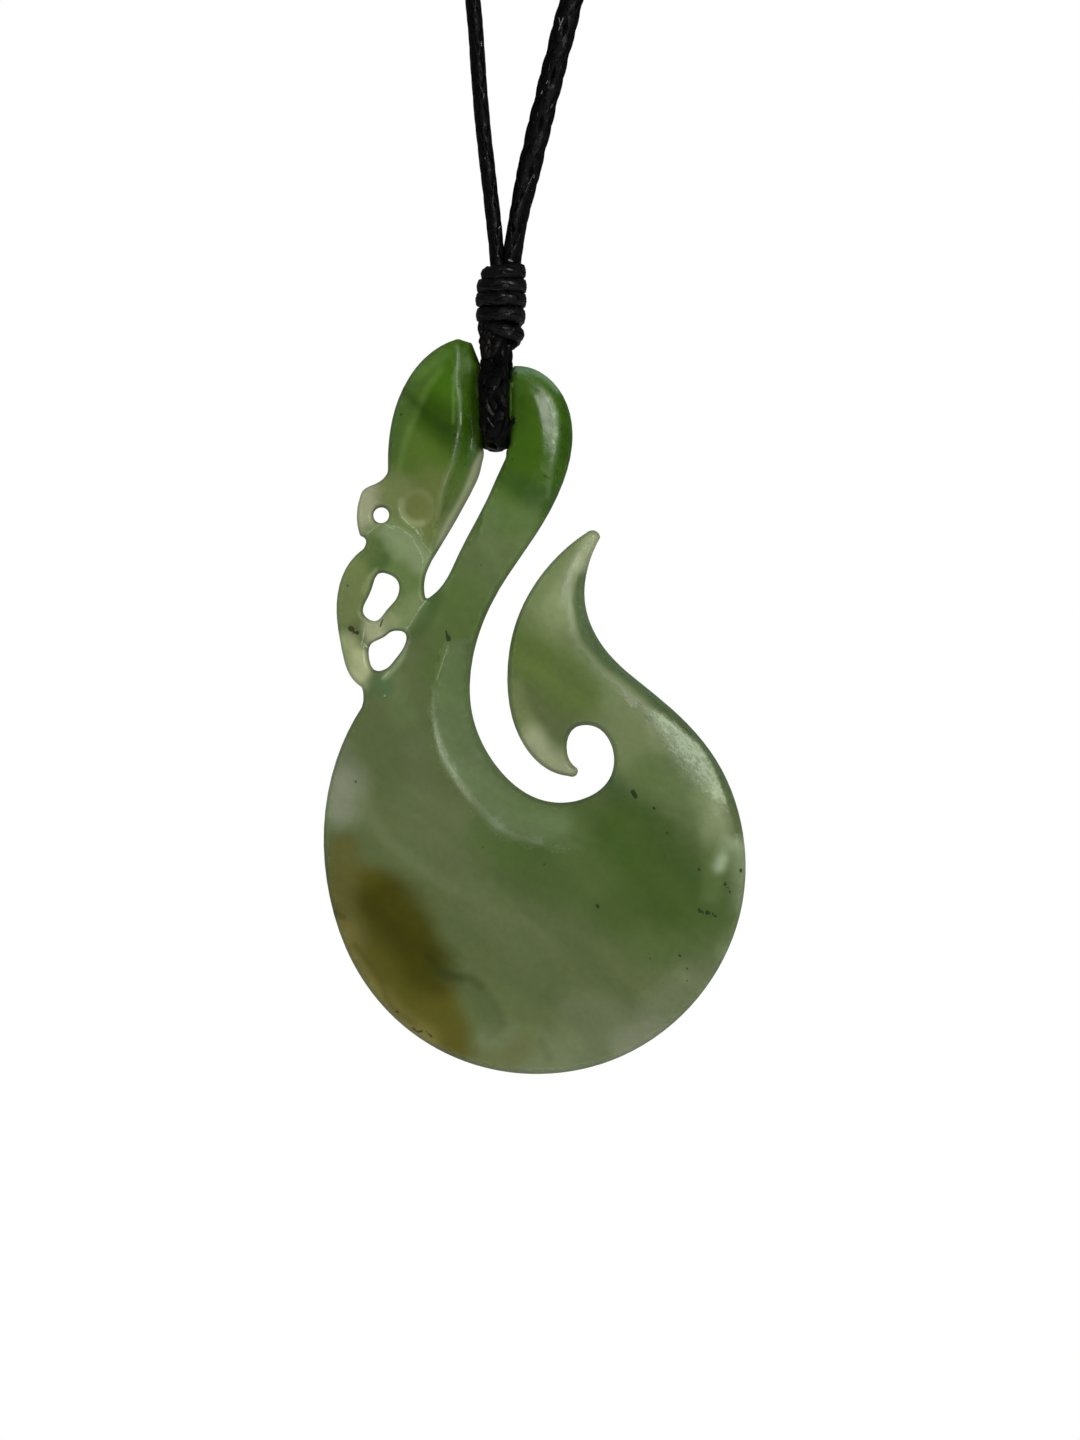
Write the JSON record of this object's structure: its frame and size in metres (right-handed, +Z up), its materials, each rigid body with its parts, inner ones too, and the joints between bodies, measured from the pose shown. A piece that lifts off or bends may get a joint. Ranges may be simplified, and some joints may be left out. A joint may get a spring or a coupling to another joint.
{
  "type": "carved stone pendant necklace",
  "caption": "Carved translucent greenstone hook pendant with a bird-like head, hung free on a knotted black braided cord neck loop.",
  "frame": {"origin": "underside of the cord at the top of the neck loop, where a neck carries it", "axes": "+Z up along the hanging necklace, +X to the right of someone who looks at the stone's front, +Y from the front of the stone to its back"},
  "size_m": [0.116, 0.0064, 0.357],
  "materials": {
    "greenstone": "polished translucent nephrite with frosted bevels",
    "black_cord": "waxed braided cord, slight sheen"
  },
  "bodies": {
    "cord": {"neck_cord": "black_cord", "wrap_knot": "black_cord", "cord_bight": "black_cord"},
    "stone": {"pendant": "greenstone"}
  },
  "joints": [
    {"name": "pendant_swing", "type": "hinge", "parent": "cord", "child": "stone", "pos_m": [-0.00245, 0, -0.30075], "axis": [1, 0, 0], "range_deg": [-40, 40]}
  ]
}
